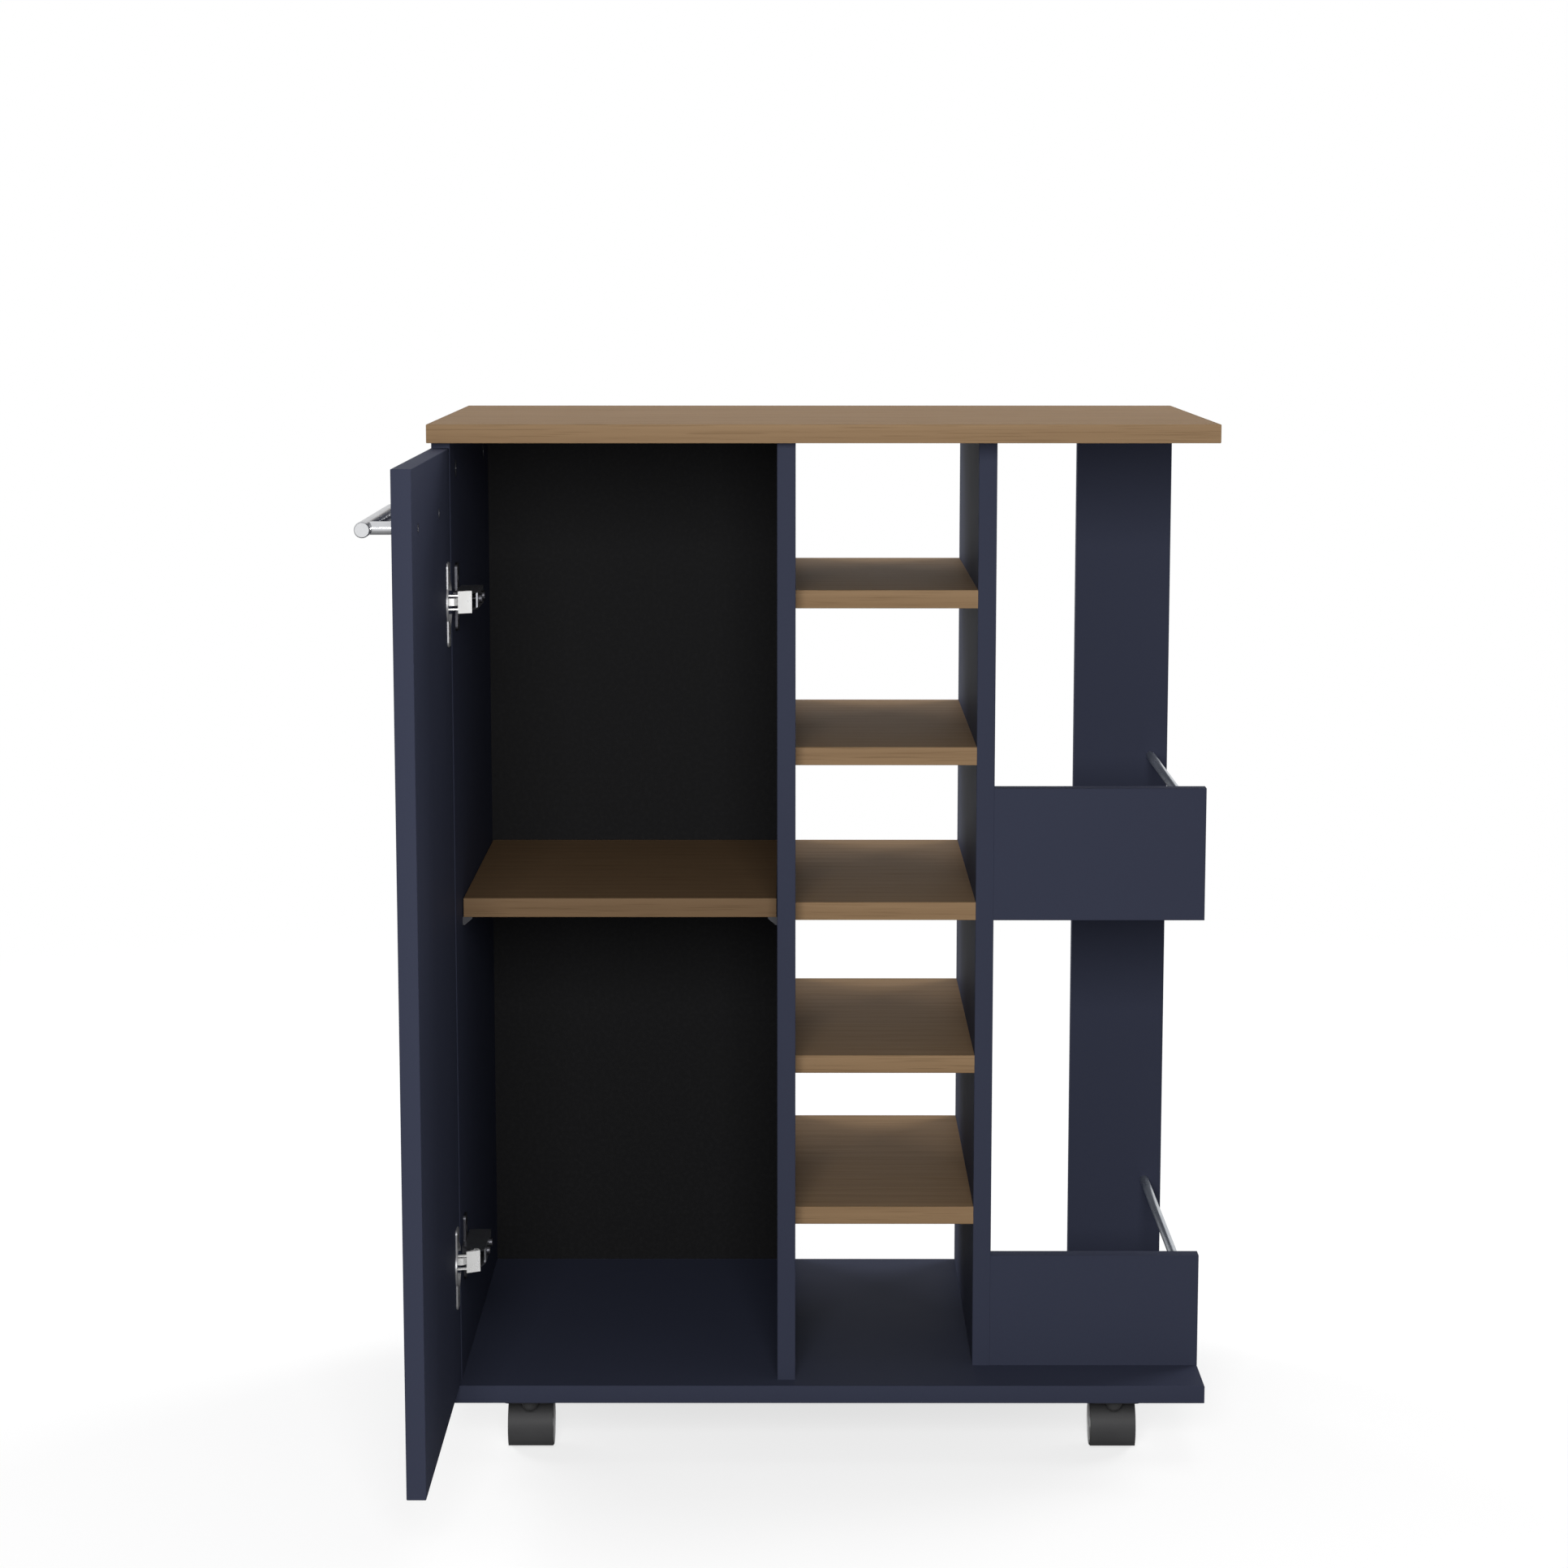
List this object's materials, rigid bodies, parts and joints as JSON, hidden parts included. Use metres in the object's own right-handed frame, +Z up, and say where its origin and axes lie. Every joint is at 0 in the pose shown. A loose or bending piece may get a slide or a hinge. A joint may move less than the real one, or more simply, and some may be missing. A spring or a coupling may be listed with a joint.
{
  "type": "bar cabinet",
  "caption": "Rolling bar cabinet with a hinged door bay and shelf, a bottle rack, open side trays with rails, and swivel casters.",
  "frame": {"origin": "on the floor, under the middle of the base panel", "axes": "+X to the right seen from the front, +Y to the back, +Z up"},
  "size_m": [0.6685, 0.6729, 0.87],
  "materials": {
    "oak_board": "oak grain melamine on particle board",
    "navy_board": "matt navy melamine on particle board",
    "back_board": "black faced hardboard",
    "chrome": "polished",
    "hinge_plating": "nickel plated sheet steel",
    "zinc_steel": "bright zinc",
    "zinc_casting": "as cast zinc alloy",
    "beech": "fluted beech",
    "dark_plastic": "moulded",
    "black_steel": "black paint",
    "caster_plastic": "fine moulded grain",
    "wheel_plastic": "fine moulded grain"
  },
  "bodies": {
    "carcass": {"base_panel": "navy_board", "top_panel": "oak_board", "left_side": "navy_board", "left_partition": "navy_board", "right_partition": "navy_board", "rear_post": "navy_board", "tray_floor": "navy_board", "upper_tray_front": "navy_board", "lower_tray_front": "navy_board", "back_panel": "back_board", "rack_shelf_1": "oak_board", "rack_shelf_2": "oak_board", "rack_shelf_3": "oak_board", "rack_shelf_4": "oak_board", "rack_shelf_5": "oak_board", "cabinet_shelf": "oak_board", "upper_rail": "chrome", "lower_rail": "chrome", "shelf_supports": "dark_plastic", "dowels": "beech", "cam_locks": "zinc_casting", "cam_bolts": "zinc_steel", "board_screws": "zinc_steel", "back_nails": "zinc_steel", "hinge_feet": "hinge_plating", "hinge_arms": "hinge_plating", "hinge_arm_pins": "hinge_plating", "hinge_foot_screws": "zinc_steel", "hinge_clamp_screws": "hinge_plating", "caster_plates": "black_steel", "caster_king_pins": "zinc_steel", "caster_screws": "zinc_steel"},
    "door": {"door": "navy_board", "handle_bar": "chrome", "handle_posts": "chrome", "handle_screws": "zinc_steel", "hinge_cups": "hinge_plating", "hinge_cup_screws": "zinc_steel", "hinge_cup_pins": "hinge_plating"},
    "outer_links": {"hinge_outer_links": "hinge_plating"},
    "inner_links": {"hinge_inner_links": "hinge_plating"},
    "caster_front_left": {"caster_hood_front_left": "caster_plastic", "caster_axle_front_left": "zinc_steel"},
    "wheel_front_left_a": {"caster_wheel_front_left_a": "wheel_plastic"},
    "wheel_front_left_b": {"caster_wheel_front_left_b": "wheel_plastic"},
    "caster_front_right": {"caster_hood_front_right": "caster_plastic", "caster_axle_front_right": "zinc_steel"},
    "wheel_front_right_a": {"caster_wheel_front_right_a": "wheel_plastic"},
    "wheel_front_right_b": {"caster_wheel_front_right_b": "wheel_plastic"},
    "caster_rear_left": {"caster_hood_rear_left": "caster_plastic", "caster_axle_rear_left": "zinc_steel"},
    "wheel_rear_left_a": {"caster_wheel_rear_left_a": "wheel_plastic"},
    "wheel_rear_left_b": {"caster_wheel_rear_left_b": "wheel_plastic"},
    "caster_rear_right": {"caster_hood_rear_right": "caster_plastic", "caster_axle_rear_right": "zinc_steel"},
    "wheel_rear_right_a": {"caster_wheel_rear_right_a": "wheel_plastic"},
    "wheel_rear_right_b": {"caster_wheel_rear_right_b": "wheel_plastic"}
  },
  "joints": [
    {"name": "outer_link_swing", "type": "hinge", "parent": "carcass", "child": "outer_links", "pos_m": [-0.289, -0.1825, 0.46], "axis": [0, 0, 1], "range_deg": [-30.73, 0]},
    {"name": "door_swing", "type": "hinge", "parent": "outer_links", "child": "door", "pos_m": [-0.30664, -0.1914, 0.46], "axis": [0, 0, 1], "range_deg": [0, 120.72]},
    {"name": "inner_link_swing", "type": "hinge", "parent": "door", "child": "inner_links", "pos_m": [-0.3093, -0.1883, 0.46], "axis": [0, 0, 1], "range_deg": [-102.96, 0]},
    {"name": "swivel_front_left", "type": "hinge", "parent": "carcass", "child": "caster_front_left", "pos_m": [-0.247, -0.1655, 0.053], "axis": [0, 0, 1], "continuous": true},
    {"name": "wheel_spin_front_left_a", "type": "hinge", "parent": "caster_front_left", "child": "wheel_front_left_a", "pos_m": [-0.247, -0.142, 0.02], "axis": [1, 0, 0], "continuous": true},
    {"name": "wheel_spin_front_left_b", "type": "hinge", "parent": "caster_front_left", "child": "wheel_front_left_b", "pos_m": [-0.247, -0.142, 0.02], "axis": [1, 0, 0], "continuous": true},
    {"name": "swivel_front_right", "type": "hinge", "parent": "carcass", "child": "caster_front_right", "pos_m": [0.247, -0.1655, 0.053], "axis": [0, 0, 1], "continuous": true},
    {"name": "wheel_spin_front_right_a", "type": "hinge", "parent": "caster_front_right", "child": "wheel_front_right_a", "pos_m": [0.247, -0.142, 0.02], "axis": [1, 0, 0], "continuous": true},
    {"name": "wheel_spin_front_right_b", "type": "hinge", "parent": "caster_front_right", "child": "wheel_front_right_b", "pos_m": [0.247, -0.142, 0.02], "axis": [1, 0, 0], "continuous": true},
    {"name": "swivel_rear_left", "type": "hinge", "parent": "carcass", "child": "caster_rear_left", "pos_m": [-0.247, 0.1655, 0.053], "axis": [0, 0, 1], "continuous": true},
    {"name": "wheel_spin_rear_left_a", "type": "hinge", "parent": "caster_rear_left", "child": "wheel_rear_left_a", "pos_m": [-0.247, 0.142, 0.02], "axis": [1, 0, 0], "continuous": true},
    {"name": "wheel_spin_rear_left_b", "type": "hinge", "parent": "caster_rear_left", "child": "wheel_rear_left_b", "pos_m": [-0.247, 0.142, 0.02], "axis": [1, 0, 0], "continuous": true},
    {"name": "swivel_rear_right", "type": "hinge", "parent": "carcass", "child": "caster_rear_right", "pos_m": [0.247, 0.1655, 0.053], "axis": [0, 0, 1], "continuous": true},
    {"name": "wheel_spin_rear_right_a", "type": "hinge", "parent": "caster_rear_right", "child": "wheel_rear_right_a", "pos_m": [0.247, 0.142, 0.02], "axis": [1, 0, 0], "continuous": true},
    {"name": "wheel_spin_rear_right_b", "type": "hinge", "parent": "caster_rear_right", "child": "wheel_rear_right_b", "pos_m": [0.247, 0.142, 0.02], "axis": [1, 0, 0], "continuous": true}
  ],
  "couplings": [
    {"joint": "outer_link_swing", "follows": "door_swing", "ratio": -0.25449},
    {"joint": "inner_link_swing", "follows": "door_swing", "ratio": -0.85284}
  ]
}
